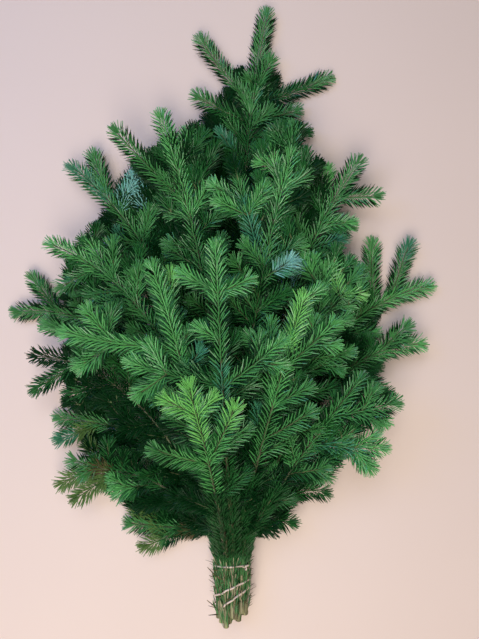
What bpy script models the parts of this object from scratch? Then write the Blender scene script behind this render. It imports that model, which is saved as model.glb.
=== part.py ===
"""Tied bunch of cut fir boughs, lying flat.

+Y runs from the cut stem ends to the longest tip, +Z up from the surface the bunch lies on.
Each bough is one tapering stem and one mass of foliage. The stems are packed side by side in
a handle, held by a loop and a wound band, and fan out above it. Boughs lie in layers, like
the leaves of an open fan: a layer is a curved sheet that starts at its row of stems and
levels out, and all that grows on a bough stays in its layer.
"""
import math

import bmesh
import bpy
import numpy as np
from mathutils import Matrix

MM = 0.001
GAP = 0.3 * MM

# Overall placing: the middle of the loop that ties the stems, seen from above
TIE_X = 14 * MM
TIE_Y = -363.5 * MM

# Handle
STEM_RADIUS = 4.6 * MM
STEM_PITCH = 9.4 * MM
SHORT_BOUGH_THINNER = 0.13
ROW_RISE = STEM_PITCH * math.sin(math.radians(60))
FIRST_ROW = 12 * MM
HANDLE_LENGTH = 76 * MM
CUT_STAGGER = 8 * MM
CUT_PHASE = 2.4

# Stems above the tie
STEM_END_RADIUS = 3.2 * MM
STEM_SOCKET = 22 * MM
STEM_STEP = 28 * MM

# Layers of boughs
LAYER_PITCH = 20 * MM
FIRST_LAYER = 9 * MM
LAYER_RISE_START = 12 * MM
LAYER_RISE_REACH = 290 * MM
LAYER_RISE_POWER = 1.8
DROOP_START = 220 * MM
DROOP_REACH = 380 * MM
DROOP = 0.28
ROW_OF_LAYER = {1: 0, 2: 1, 3: 2, 4: 2, 5: 3, 6: 3, 7: 4, 8: 4}
LAYER_CLEARANCE = 1.1 * MM

# Growth
TURN_START = 10 * MM
TURN_REACH = 50 * MM
YEAR_GROWTH = 78 * MM
SIDE_ANGLE = 48
SWEEP = 0.15
FORK_LENGTH = 85 * MM
FORK_SHARE = 0.38
FILL_SHARE = 0.62
FILL_LEAST = 18 * MM
FILL_CLEAR = 10 * MM
FILL_START = 60 * MM
FILL_REACH = 200 * MM
NODE_SPACE = 30 * MM

# Foliage masses
SHOOT_RADIUS = 17 * MM
TIP_RADIUS = 13 * MM
FOOT_RADIUS = 10 * MM
FOOT_LENGTH = 55 * MM
TIP_TAPER = 0.2
THICKNESS_SHARE = 0.8
BEAD_STEP = 8 * MM
UNEVENNESS = 0.1
WAVE_LENGTH = 17 * MM
WAVE_PER_SHOOT = 2.1
WAVE_PER_BOUGH = 1.3
VOXEL = 3.5 * MM
FACES_PER_METRE = 295
FACES_BASE = 40

# Binding
BAND_RADIUS = 1.5 * MM
LOOP_POINTS = 30
LOOP_RISE = 4 * MM
BAND_LEAN = 0.35
WRAP_FIRST = -0.5
WRAP_LAST = 1.37
WRAP_START = -22.5 * MM
WRAP_PITCH = 17 * MM
WRAP_TILT = 0.28
WRAP_TWIST = 0.22
WRAP_LINK = 19 * MM

# Curves and materials
WELD = 0.01 * MM
BARK_COLOR = (0.24, 0.19, 0.09)
BARK_ROUGHNESS = 0.8
BAND_COLOR = (0.66, 0.47, 0.36)
BAND_ROUGHNESS = 0.7
LEAF_LOW_COLOR = (0.03, 0.09, 0.04)
LEAF_HIGH_COLOR = (0.07, 0.22, 0.04)
LEAF_ROUGHNESS = 0.6

# Name, layer, column in its row of stems, heading (degrees right of +Y), bend to the tip
# (degrees), length, bare stem, reach of the filling side shoots left and right (mm), then
# the main side shoots as (distance along the bough, angle to it, length)
BOUGHS = (
    ("foot_left", 1, -2, -87, 4, 171, 62, (0, 40), ((77, -25, 79),)),
    ("left_third", 1, -1, -33, -64, 356, 130, (50, 50), ((289, -38, 69),)),
    ("left_outer", 1, 0, -15, -86, 545, 165, (50, 60), ((474, 45, 76),)),
    ("leader", 1, 1, -1, 12, 816, 150, (65, 65),
     ((667, -46, 136), (655, -24, 56), (680, 17, 70), (673, 66, 128), (645, -75, 92),
      (649, 76, 82), (624, 83, 90))),
    ("right_outer", 1, 2, 13, 69, 527, 155, (50, 60), ((462, -51, 88), (432, -63, 101))),
    ("low_left", 2, -1.5, -41, -86, 310, 90, (45, 60),
     ((222, 14, 70), (222, -41, 76), (158, -34, 66))),
    ("upper_left_outer", 2, -0.5, -7, -46, 642, 140, (60, 60), ((565, 24, 85), (481, -46, 61))),
    ("right_far", 2, 0.5, 20, 68, 454, 130, (60, 50), ((384, -26, 64), (336, 67, 64))),
    ("low_right", 2, 1.5, 32, 77, 187, 62, (30, 40), ((73, 56, 56),)),
    ("left_dark", 3, -2, -20, -70, 436, 120, (50, 60), ((369, -52, 80), (308, -48, 80))),
    ("upper_left", 3, 0, -4, -16, 661, 175, (60, 60), ((570, 30, 70), (520, -32, 151))),
    ("right_top", 3, 1, 8, 28, 620, 180, (55, 60),
     ((550, 62, 66), (505, 63, 46), (505, -21, 89))),
    ("left_upper", 4, -1, -8, -64, 556, 130, (60, 60), ((477, -66, 65), (441, 16, 83))),
    ("right_inner", 4, 2, 22, -18, 448, 120, (60, 60),
     ((410, -43, 60), (410, 19, 57), (354, 25, 105))),
    ("upper_centre", 5, -0.5, 5, 12, 598, 140, (60, 50),
     ((425, -28, 140), (534, -28, 70), (534, 42, 52), (425, 40, 72))),
    ("right", 5, 1.5, 30, 11, 327, 110, (50, 60), ((212, 63, 106), (256, 41, 90), (179, 86, 52))),
    ("left_long", 6, -1.5, -9, -12, 440, 130, (60, 45), ((316, -68, 162), (360, 16, 75))),
    ("front_right", 6, 0.5, 13, 5, 402, 120, (0, 60),
     ((177, -17, 74), (198, 44, 83), (294, 33, 97), (241, -16, 122))),
    ("centre", 7, 0.15, -3, 0, 455, 130, (0, 0),
     ((268, -76, 133), (265, 56, 103), (387, -59, 62), (387, 72, 52), (325, -55, 40))),
    ("trident", 8, -0.85, -7, -10, 282, 100, (0, 0),
     ((170, -62, 82), (170, 36, 88), (237, -50, 50), (237, 60, 38))),
)


def smooth_step(value):
    """0 below 0, 1 above 1, and 3t^2 - 2t^3 between."""
    t = np.clip(value, 0.0, 1.0)
    return t * t * (3.0 - 2.0 * t)


def row_height(layer):
    return FIRST_ROW + ROW_OF_LAYER[layer] * ROW_RISE


def layer_height(layer, reach):
    """Height of a layer at a distance from the tie: from its row of stems up to its level."""
    share = np.clip((reach - LAYER_RISE_START) / LAYER_RISE_REACH, 0.0, 1.0)
    rise = 1.0 - (1.0 - share) ** LAYER_RISE_POWER
    droop = 1.0 - DROOP * smooth_step((reach - DROOP_START) / DROOP_REACH)
    level = FIRST_LAYER + (layer - 1) * LAYER_PITCH * droop
    return row_height(layer) + (level - row_height(layer)) * rise


def layer_half(layer, reach):
    """Half the room that a layer has to the layers over and under it, or to the ground."""
    middle = layer_height(layer, reach)
    top = max(ROW_OF_LAYER)
    under = 2.0 * middle if layer == 1 else middle - layer_height(layer - 1, reach)
    over = under if layer == top else layer_height(layer + 1, reach) - middle
    if layer == 1:
        return np.minimum(middle, over / 2.0 - LAYER_CLEARANCE)
    return np.minimum(under, over) / 2.0 - LAYER_CLEARANCE


def carry(start, headings, steps):
    """Points of a path from its start, its heading at each point and the step lengths."""
    middle = np.radians((headings[1:] + headings[:-1]) / 2.0)
    move = np.stack([np.sin(middle) * steps, np.cos(middle) * steps], axis=1)
    return np.vstack([start, start + np.cumsum(move, axis=0)])


def bough_axis(bough, count=160):
    """Distances, plan points and headings along a bough, from the tie to its tip."""
    _, _, column, heading, bend, length = bough[:6]
    distance = np.linspace(0.0, length * MM, count)
    turn = smooth_step((distance - TURN_START) / TURN_REACH)
    headings = heading * turn + bend * (distance / (length * MM)) ** 2
    start = np.array([TIE_X + column * STEM_PITCH, TIE_Y])
    return distance, carry(start, headings, np.diff(distance)), headings


def along(axis, distance):
    """Plan point and heading at one distance along a bough."""
    distances, points, headings = axis
    place = [np.interp(distance, distances, points[:, k]) for k in (0, 1)]
    return np.array(place), float(np.interp(distance, distances, headings))


def side_shoot(start, heading, angle, length, count=12):
    """A shoot that leaves at an angle and sweeps a little forward."""
    share = np.linspace(0.0, 1.0, count)
    headings = heading + angle * (1.0 - SWEEP * share ** 2)
    return carry(start, headings, np.full(count - 1, length / (count - 1)))


def filling_shoots(bough):
    """Side shoots at each older node, left and right, where no main side shoot stands."""
    length, bare, reaches, mains = bough[5] * MM, bough[6] * MM, bough[7], bough[8]
    found = []
    at = length - 2 * YEAR_GROWTH
    while at > bare + FILL_CLEAR:
        stunted = smooth_step((at - FILL_START) / FILL_REACH)
        for side, reach in zip((-1, 1), reaches):
            grown = min(reach * MM, FILL_SHARE * (length - at)) * stunted
            free = all(abs(at - d * MM) > NODE_SPACE or a * side < 0 for d, a, _ in mains)
            if grown > FILL_LEAST and free:
                found.append((at, side * SIDE_ANGLE, grown))
        at -= YEAR_GROWTH
    return found


def bough_shoots(bough):
    """Plan paths of all the shoots of one bough, its own axis first, from the bare stem's end."""
    axis = bough_axis(bough)
    keep = axis[0] >= bough[6] * MM
    paths = [axis[1][keep]]
    mains = [(d * MM, a, length * MM) for d, a, length in bough[8]]
    for at, angle, length in mains + filling_shoots(bough):
        start, heading = along(axis, at)
        path = side_shoot(start, heading, angle, length)
        paths.append(path)
        if length > FORK_LENGTH:
            fork = path[len(path) // 2]
            for side in (-SIDE_ANGLE, SIDE_ANGLE):
                paths.append(side_shoot(fork, heading + angle, side, length * FORK_SHARE))
    return paths


def resample(path, step):
    """Points at even steps along a plan path, with their distances from both its ends."""
    gone = np.concatenate([[0.0], np.cumsum(np.hypot(*np.diff(path, axis=0).T))])
    count = max(int(round((gone[-1] - TIP_RADIUS) / step)), 2)
    at = np.linspace(0.0, gone[-1] - TIP_RADIUS, count)
    points = np.stack([np.interp(at, gone, path[:, k]) for k in (0, 1)], axis=1)
    return points, at, gone[-1] - at


def lift(layer, points):
    """Distances from the tie and heights of plan points in a layer."""
    reach = np.hypot(points[:, 0] - TIE_X, points[:, 1] - TIE_Y)
    return reach, layer_height(layer, reach)


def new_material(name, color, roughness):
    material = bpy.data.materials.new(name)
    material.use_nodes = True
    shader = material.node_tree.nodes["Principled BSDF"]
    shader.inputs["Base Color"].default_value = (*color, 1.0)
    shader.inputs["Roughness"].default_value = roughness
    shader.inputs["Metallic"].default_value = 0.0
    return material


def add_object(name, data, collection, material=None):
    placed = bpy.data.objects.new(name, data)
    collection.objects.link(placed)
    if material:
        data.materials.append(material)
    return placed


def tube(name, points, radii, cyclic, resolution):
    """Curve data for a tube with round section, flat ends and a radius at each point."""
    curve = bpy.data.curves.new(name, "CURVE")
    curve.dimensions = "3D"
    curve.bevel_depth = 1.0
    curve.bevel_resolution = resolution
    curve.use_fill_caps = not cyclic
    spline = curve.splines.new("POLY")
    spline.points.add(len(points) - 1)
    for knot, point, radius in zip(spline.points, points, radii):
        knot.co = (*point, 1.0)
        knot.radius = radius
    spline.use_cyclic_u = cyclic
    return curve


def cut_end(index):
    """Distance below the tie of a stem's cut end; neighbours are cut at unlike lengths."""
    return HANDLE_LENGTH + CUT_STAGGER * math.sin(CUT_PHASE * index)


def stem_radius(bough):
    """Radius of a stem in the handle: the longest bough has the thickest."""
    longest = max(b[5] for b in BOUGHS)
    return STEM_RADIUS * (1.0 - SHORT_BOUGH_THINNER * (1.0 - math.sqrt(bough[5] / longest)))


def stem_path(bough, index, past):
    """Centre line and radii of a stem, from its cut end to a distance past the bare stem."""
    layer, bare = bough[1], bough[6] * MM
    axis = bough_axis(bough)
    end = bare + STEM_SOCKET + past
    spots = np.append(np.arange(TURN_START, end - STEM_STEP / 3, STEM_STEP), end)
    spots = np.insert(spots, 0, 0.0)
    plan = np.array([along(axis, spot)[0] for spot in spots])
    _, heights = lift(layer, plan)
    heights[0] = row_height(layer)
    points = [(plan[0, 0], TIE_Y - cut_end(index), heights[0])]
    points += [(x, y, z) for (x, y), z in zip(plan, heights)]
    share = np.concatenate([[0.0], np.clip(spots / (bare + STEM_SOCKET), 0.0, 1.0)])
    foot = stem_radius(bough)
    return points, foot + (STEM_END_RADIUS - foot) * share


def build_stem(bough, index, collection):
    points, radii = stem_path(bough, index, 0.0)
    name = "stem_" + bough[0]
    bark = new_material(name, BARK_COLOR, BARK_ROUGHNESS)
    return add_object(name, tube(name, points, radii, False, 2), collection, bark)


def stem_cutter(bough, index, collection):
    """The stem's own shape, wider by the gap: it leaves the socket that the stem ends in."""
    points, radii = stem_path(bough, index, GAP)
    name = "cut_" + bough[0]
    guide = add_object(name, tube(name, points, radii + 2 * GAP, False, 2), collection)
    evaluated = guide.evaluated_get(bpy.context.evaluated_depsgraph_get())
    mesh = bpy.data.meshes.new_from_object(evaluated)
    cutter = add_object(name + "_solid", mesh, collection)
    cutter.matrix_world = guide.matrix_world
    bpy.data.objects.remove(guide)
    weld = bmesh.new()
    weld.from_mesh(mesh)
    bmesh.ops.remove_doubles(weld, verts=weld.verts, dist=WELD)
    bmesh.ops.recalc_face_normals(weld, faces=weld.faces)
    weld.to_mesh(mesh)
    weld.free()
    cutter.hide_render = True
    cutter.display_type = "WIRE"
    return cutter


def foliage_beads(bough, index):
    """Mesh of overlapping flattened beads strung along every shoot of a bough."""
    layer = bough[1]
    cage = bmesh.new()
    run = 0.0
    for number, path in enumerate(bough_shoots(bough)):
        points, gone, left = resample(path, BEAD_STEP)
        run += gone[-1]
        reach, heights = lift(layer, points)
        phase = WAVE_PER_SHOOT * number + WAVE_PER_BOUGH * index
        wave = 1.0 + UNEVENNESS * np.sin(gone / WAVE_LENGTH + phase)
        foot = FOOT_RADIUS + (SHOOT_RADIUS - FOOT_RADIUS) * smooth_step(gone / FOOT_LENGTH)
        wide = foot if number == 0 else np.full(len(points), SHOOT_RADIUS)
        wide = np.minimum(wide, TIP_RADIUS + (left - TIP_RADIUS) * TIP_TAPER) * wave
        high = np.minimum(layer_half(layer, reach), wide * THICKNESS_SHARE)
        for (x, y), z, across, up in zip(points, heights, wide, high):
            place = Matrix.Translation((x, y, z)) @ Matrix.Diagonal((across, across, up, 1.0))
            bmesh.ops.create_icosphere(cage, subdivisions=2, radius=1.0, matrix=place)
    mesh = bpy.data.meshes.new("foliage_" + bough[0])
    cage.to_mesh(mesh)
    cage.free()
    return mesh, run


def build_foliage(bough, index, collection, cutters):
    """One closed uneven mass: the beads joined, thinned to a few faces, with the stem's socket."""
    name = "foliage_" + bough[0]
    mesh, run = foliage_beads(bough, index)
    depth = (bough[1] - 1) / (max(ROW_OF_LAYER) - 1)
    color = np.array(LEAF_LOW_COLOR) * (1.0 - depth) + np.array(LEAF_HIGH_COLOR) * depth
    leaf = new_material(name, color, LEAF_ROUGHNESS)
    mass = add_object(name, mesh, collection, leaf)
    join = mass.modifiers.new("join", "REMESH")
    join.mode = "VOXEL"
    join.voxel_size = VOXEL
    bpy.context.view_layer.update()
    evaluated = mass.evaluated_get(bpy.context.evaluated_depsgraph_get())
    fine = evaluated.to_mesh()
    fine.calc_loop_triangles()
    triangles = len(fine.loop_triangles)
    evaluated.to_mesh_clear()
    thin = mass.modifiers.new("thin", "DECIMATE")
    thin.ratio = (FACES_BASE + FACES_PER_METRE * run) / triangles
    socket = mass.modifiers.new("socket", "BOOLEAN")
    socket.operation = "DIFFERENCE"
    socket.solver = "EXACT"
    socket.object = stem_cutter(bough, index, cutters)
    return mass


def band_point(turn):
    """Point of the band round the packed stems, clear of the stem that lies furthest out.

    Returns its distance right of the tie, its height, and its lean: the band's highest point is the
    furthest from the cut ends, and the lean is minus how far this point lies below it along +Y.
    """
    away = STEM_RADIUS + BAND_RADIUS + 2 * GAP
    outward = np.array([math.cos(turn), math.sin(turn)])
    centres = np.array([(b[2] * STEM_PITCH, row_height(b[1])) for b in BOUGHS])
    furthest = centres[np.argmax(centres @ outward)]
    across, height = furthest + outward * away
    top = centres[:, 1].max() + away
    return across, height, BAND_LEAN * (height - top)


def build_loop(collection):
    """The closed loop round the top of the handle."""
    points = []
    for turn in np.linspace(0.0, 2 * math.pi, LOOP_POINTS, endpoint=False):
        across, height, lean = band_point(turn)
        points.append((TIE_X + across, TIE_Y + LOOP_RISE + lean, height))
    band = new_material("binding_loop", BAND_COLOR, BAND_ROUGHNESS)
    ring = tube("binding_loop", points, [BAND_RADIUS] * len(points), True, 1)
    return add_object("binding_loop", ring, collection, band)


def build_wrap(collection):
    """The band wound on down the handle, its turns tilted up to the right, each one steeper.

    It starts beside the loop on the left, runs down behind the stems and comes round the right.
    """
    steps = int((WRAP_LAST - WRAP_FIRST) * LOOP_POINTS) + 1
    points = []
    for turn in np.linspace(WRAP_FIRST, WRAP_LAST, steps):
        across, height, lean = band_point(2 * math.pi * turn)
        level = TIE_Y + WRAP_START - WRAP_PITCH * turn + lean
        slope = (WRAP_TILT + WRAP_TWIST * turn) * across
        link = WRAP_LINK * smooth_step(turn / WRAP_FIRST)
        points.append((TIE_X + across, level + slope + link, height))
    band = new_material("binding_wrap", BAND_COLOR, BAND_ROUGHNESS)
    winding = tube("binding_wrap", points, [BAND_RADIUS] * len(points), False, 1)
    return add_object("binding_wrap", winding, collection, band)


def main():
    for old in list(bpy.data.objects):
        bpy.data.objects.remove(old)
    bunch = bpy.data.collections.new("fir_bunch")
    cutters = bpy.data.collections.new("cutters")
    for collection in (bunch, cutters):
        bpy.context.scene.collection.children.link(collection)
    for index, bough in enumerate(BOUGHS):
        build_stem(bough, index, bunch)
        build_foliage(bough, index, bunch, cutters)
    build_loop(bunch)
    build_wrap(bunch)


main()
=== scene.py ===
"""Looks of a tied bunch of cut fir boughs: bark, twigs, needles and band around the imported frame.

+Y runs from the cut stem ends to the longest tip, +Z up from the surface that the bunch lies on.
All lengths are in metres. The boughs follow the same layout as the frame's stems and masses, and
every twig and needle grows from them by one seeded rule. Needles are dealt out spray by spray to
plain tints, and each tint has pieces of its own.
"""

import math
from collections import namedtuple

import bpy
import numpy as np
from bpy.props import FloatProperty, FloatVectorProperty, IntProperty, PointerProperty
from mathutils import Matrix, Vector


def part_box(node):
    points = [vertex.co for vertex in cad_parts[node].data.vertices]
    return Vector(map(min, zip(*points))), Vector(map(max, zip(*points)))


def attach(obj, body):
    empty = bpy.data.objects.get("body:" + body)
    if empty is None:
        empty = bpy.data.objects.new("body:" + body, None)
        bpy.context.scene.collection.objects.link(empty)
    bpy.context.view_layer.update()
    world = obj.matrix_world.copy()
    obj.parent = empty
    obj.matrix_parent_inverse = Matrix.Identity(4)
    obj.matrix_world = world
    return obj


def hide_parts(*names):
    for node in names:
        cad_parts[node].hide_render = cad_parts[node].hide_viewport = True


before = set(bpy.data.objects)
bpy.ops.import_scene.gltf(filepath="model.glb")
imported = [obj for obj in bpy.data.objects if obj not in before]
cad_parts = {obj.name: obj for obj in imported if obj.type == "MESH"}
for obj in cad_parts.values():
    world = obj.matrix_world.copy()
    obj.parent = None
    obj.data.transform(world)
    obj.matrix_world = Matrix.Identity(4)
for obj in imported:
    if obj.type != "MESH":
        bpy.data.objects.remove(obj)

bl_info = {
    "name": "Tied Bunch of Fir Boughs",
    "version": (1, 0, 0),
    "blender": (4, 5, 0),
    "location": "View3D > Sidebar > Fir Bunch",
    "description": "Bark, twigs, needles and band for a tied bunch of cut fir boughs",
    "category": "Add Mesh",
}

MM = 0.001

# Place of the tie, from the loop in the frame
LOOP_RISE = 4 * MM
BAND_RADIUS = 1.5 * MM
LOOP_LOW, LOOP_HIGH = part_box("binding_loop")
TIE_X = (LOOP_LOW[0] + LOOP_HIGH[0]) / 2
TIE_Y = LOOP_HIGH[1] - BAND_RADIUS - LOOP_RISE
TIE = np.array([TIE_X, TIE_Y])

# Handle, as in the frame
STEM_RADIUS = 4.6 * MM
STEM_PITCH = 9.4 * MM
SHORT_BOUGH_THINNER = 0.13
ROW_RISE = STEM_PITCH * math.sin(math.radians(60))
FIRST_ROW = 12 * MM
HANDLE_LENGTH = 76 * MM
CUT_STAGGER = 8 * MM
CUT_PHASE = 2.4
STEM_END_RADIUS = 3.2 * MM
STEM_SOCKET = 22 * MM

# Wound band, as in the frame
BAND_LEAN = 0.35
WRAP_START = -22.5 * MM
WRAP_LINK = 19 * MM

# Layers of boughs, as in the frame
LAYER_PITCH = 20 * MM
FIRST_LAYER = 9 * MM
LAYER_RISE_START = 12 * MM
LAYER_RISE_REACH = 290 * MM
LAYER_RISE_POWER = 1.8
DROOP_START = 220 * MM
DROOP_REACH = 380 * MM
DROOP = 0.28
ROW_OF_LAYER = {1: 0, 2: 1, 3: 2, 4: 2, 5: 3, 6: 3, 7: 4, 8: 4}

# Growth, as in the frame
TURN_START = 10 * MM
TURN_REACH = 50 * MM
YEAR_GROWTH = 78 * MM
SIDE_ANGLE = 48
SWEEP = 0.15
FORK_LENGTH = 85 * MM
FORK_SHARE = 0.38
FILL_SHARE = 0.62
FILL_LEAST = 18 * MM
FILL_CLEAR = 10 * MM
FILL_START = 60 * MM
FILL_REACH = 200 * MM
NODE_SPACE = 30 * MM

# Name, layer, column in its row of stems, heading (degrees right of +Y), bend to the tip
# (degrees), length, bare stem, reach of the filling side shoots left and right (mm), then
# the main side shoots as (distance along the bough, angle to it, length)
BOUGHS = (
    ("foot_left", 1, -2, -87, 4, 171, 62, (0, 40), ((77, -25, 79),)),
    ("left_third", 1, -1, -33, -64, 356, 130, (50, 50), ((289, -38, 69),)),
    ("left_outer", 1, 0, -15, -86, 545, 165, (50, 60), ((474, 45, 76),)),
    ("leader", 1, 1, -1, 12, 816, 150, (65, 65),
     ((667, -46, 136), (655, -24, 56), (680, 17, 70), (673, 66, 128), (645, -75, 92),
      (649, 76, 82), (624, 83, 90))),
    ("right_outer", 1, 2, 13, 69, 527, 155, (50, 60), ((462, -51, 88), (432, -63, 101))),
    ("low_left", 2, -1.5, -41, -86, 310, 90, (45, 60),
     ((222, 14, 70), (222, -41, 76), (158, -34, 66))),
    ("upper_left_outer", 2, -0.5, -7, -46, 642, 140, (60, 60), ((565, 24, 85), (481, -46, 61))),
    ("right_far", 2, 0.5, 20, 68, 454, 130, (60, 50), ((384, -26, 64), (336, 67, 64))),
    ("low_right", 2, 1.5, 32, 77, 187, 62, (30, 40), ((73, 56, 56),)),
    ("left_dark", 3, -2, -20, -70, 436, 120, (50, 60), ((369, -52, 80), (308, -48, 80))),
    ("upper_left", 3, 0, -4, -16, 661, 175, (60, 60), ((570, 30, 70), (520, -32, 151))),
    ("right_top", 3, 1, 8, 28, 620, 180, (55, 60), ((550, 62, 66), (505, 63, 46), (505, -21, 89))),
    ("left_upper", 4, -1, -8, -64, 556, 130, (60, 60), ((477, -66, 65), (441, 16, 83))),
    ("right_inner", 4, 2, 22, -18, 448, 120, (60, 60),
     ((410, -43, 60), (410, 19, 57), (354, 25, 105))),
    ("upper_centre", 5, -0.5, 5, 12, 598, 140, (60, 50),
     ((425, -28, 140), (534, -28, 70), (534, 42, 52), (425, 40, 72))),
    ("right", 5, 1.5, 30, 11, 327, 110, (50, 60), ((212, 63, 106), (256, 41, 90), (179, 86, 52))),
    ("left_long", 6, -1.5, -9, -12, 440, 130, (60, 45), ((316, -68, 162), (360, 16, 75))),
    ("front_right", 6, 0.5, 13, 5, 402, 120, (0, 60),
     ((177, -17, 74), (198, 44, 83), (294, 33, 97), (241, -16, 122))),
    ("centre", 7, 0.15, -3, 0, 455, 130, (0, 0),
     ((268, -76, 133), (265, 56, 103), (387, -59, 62), (387, 72, 52), (325, -55, 40))),
    ("trident", 8, -0.85, -7, -10, 282, 100, (0, 0),
     ((170, -62, 82), (170, 36, 88), (237, -50, 50), (237, 60, 38))),
)

# How light the needles of a bough are, from -1 for deep shade green to 1 for young yellow-green. This is
# partly the bough's own tone and partly painted light and shade by where the bough lies in the bunch
TONES = {
    "foot_left": 0.15, "left_third": -0.2, "left_outer": -0.05, "leader": -0.15,
    "right_outer": 0.1, "low_left": -0.35, "upper_left_outer": 0.0, "right_far": 0.0,
    "low_right": -0.1, "left_dark": -0.7, "upper_left": 0.1, "right_top": 0.0,
    "left_upper": 0.15, "right_inner": 0.2, "upper_centre": 0.15, "right": 0.15,
    "left_long": 0.45, "front_right": 0.3, "centre": 0.25, "trident": 0.75,
}
# Share of a bough's sprays that have turned olive or brown
OLIVE = {"foot_left": 0.6, "left_third": 0.5, "low_left": 0.6}
# Sprays dealt the pale tint: plan place of the tip (mm) and how far round it (mm)
PALE_SPOTS = ((-127, 180, 16), (92, 58, 12))

# Places with lighter or darker needles: plan place, how far round it (mm), change of the score
LIGHT_SPOTS = (
    (-85, -24, 24, 0.7), (172, 28, 34, 0.45), (115, 14, 22, 0.5), (-150, -255, 18, 1.0),
    (-177, -164, 50, -0.45), (-25, -258, 60, -0.5), (-92, -168, 42, -0.9), (-225, 25, 30, -0.3),
    (-60, 195, 60, 0.2), (60, 90, 60, 0.15), (75, 280, 40, 0.3), (35, -60, 40, -0.25),
    (165, -110, 60, -0.3),
)

# Boughs whose long side shoots have no fork
FORKLESS = ("leader", "right_outer", "right_top", "upper_left", "trident")
# The closed part of the crown: distance beyond the tie, reach left and right of it (mm)
CROWN = (
    (34, 60, 22), (52, 90, 60), (101, 166, 100), (171, 211, 142), (240, 228, 205), (310, 236, 210),
    (379, 244, 205), (423, 225, 168), (449, 210, 146), (484, 188, 130), (518, 176, 134),
    (560, 148, 118), (588, 112, 92), (622, 42, 80), (657, 26, 72), (713, -12, 55),
)

# Least score of a spray for each tint, lightest first
TINT_STEPS = (("bright", 1.0), ("fresh", 0.5), ("green", -0.05), ("deep", -0.6), ("shade", -9.0))
# Tint of the lower needles of a spray, which its upper ones shade, by the tint of the upper ones,
# and how far up round the twig the lower ones go, as the sine of the azimuth
UNDER = {"bright": "green", "fresh": "deep", "green": "shade", "deep": "shade", "shade": "shade",
         "blue": "deep", "pale": "blue", "olive": "olive", "brown": "brown"}
UNDER_LIFT = 0.38
# How glossy the needles of a tint are, and those on the stems
GLOSS = {"bright": 0.75, "fresh": 0.85, "green": 0.7, "deep": 0.3, "shade": 0.12,
         "blue": 0.6, "pale": 0.5, "olive": 0.3, "brown": 0.2}
STEM_GLOSS = 0.3

# Habit: azimuths of the needles round the shoot, in the order they follow each other (0 and 180
# are the sides, 90 is up), angles of side and top ones to the shoot (degrees), and the length of
# the top ones as a share of the side ones
HABITS = {
    "brush": ((0, 180, 32, 148, 340, 200, 58, 122, 14, 166, 90), 54, 36, 0.85),
    "comb": ((0, 180, 27, 153, 345, 195, 52, 128, 12, 168, 90), 56, 38, 0.78),
    "neck": ((5, 175, 50, 130, 25, 155, 90, 70, 110), 33, 20, 0.9),
    "pressed": ((20, 160, 60, 120, 90, 330, 210), 15, 11, 0.9),
}

# Layer from which the small shoots dip under their bough and are darker, as painted shade
FRONT_LAYER = 6
# Length of a side shoot's young end, and of a bough's end without small shoots
YOUNG_END = 30 * MM
CLEAN_END = 105 * MM
# Shoots are parted by their years. A bough's last part is longer than the least year, and a side
# shoot has an older part where it is longer than so many young ends. An older part is darker, and
# its needles are fewer
LEAST_YEAR = 15 * MM
LEAST_YOUNG_ENDS = 1.6
PART_STEP = 4 * MM
AGE_SHADE = (0.0, 0.3, 0.65, 1.0)
AGE_THINNING = 0.1
SCORE_SPREAD = 0.1

# Random growth: angles in degrees, changes of the tone, pairs from the least to the most
BOUGH_SEEDS = 1000
TONE_SPREAD = 0.1
CHANGE_SPREAD = 0.15
ROLL_SPREAD = 12.0
AGEING_START = 1.5
LEAST_POINTS = 4
TWIG_PLACES = (0.3, 0.65)
TWIG_ANGLES = (36, 54)
TWIG_SHARES = (0.3, 0.5)
# Twigs get a slightly darker tone on the mean: painted shade among the main sprays
TWIG_CHANGE = -0.05
SMALL_FIRST = (0.8, 1.2)
SMALL_SPACING = (0.7, 1.3)
SMALL_ANGLES = (34, 66)
# Small shoots get a darker tone on the mean, and those of the front layers more: painted shade, as they
# lie within and under the main sprays
SMALL_CHANGE = -0.28
FRONT_CHANGE = -0.5
FRONT_DIP = -28.0
FRONT_DIP_SPREAD = 10.0

# Shoots that close the crown: how far a shoot covers to each side, the part of the plan round the
# tie that is looked at, how much nearer the tie a foot lies by its distance, and how far the shoot
# passes the place
SPRAY_REACH = 13 * MM
COVER_SEED = 900
COVER_ACROSS = (-0.26, 0.24)
COVER_BEYOND = (0.03, 0.72)
COVER_NEARER = 0.7
COVER_PAST = 14 * MM
COVER_BENDS = (-14, 14)
COVER_DIP = -6.0
COVER_DIP_SPREAD = 4.0
# Cover shoots get a darker tone on the mean: painted shade, as they fill in under and between the other
# sprays
COVER_CHANGE = -0.38
COVER_LEAST_GAIN = 0.02
OUT_OF_REACH = 9.0

# Score of a part by its place: the most, less for each point of a shoot that lies near it in plan and well
# above it, as painted shade from the shoots above, and less near the tie, partly for older needles and
# partly as painted shade. It is looked at in the middle and at the end of the part
LIGHT_MOST = 0.45
LIGHT_COVERED = 0.22
LIGHT_NEAR_TIE = 0.95
NEAR_START = 70 * MM
NEAR_REACH = 160 * MM
OVER_REACH = 12 * MM
OVER_RISE = 7 * MM
MOST_OVER = 4
LOOKED_AT = (0.5, 1.0)

# Sprays dealt out by chance: blue-green above this chance and between these scores, and the
# brown ones among the olive
BLUE_CHANCE = 0.91
BLUE_SCORES = (-0.6, 0.8)
BROWN_SHARE = 0.3

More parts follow.
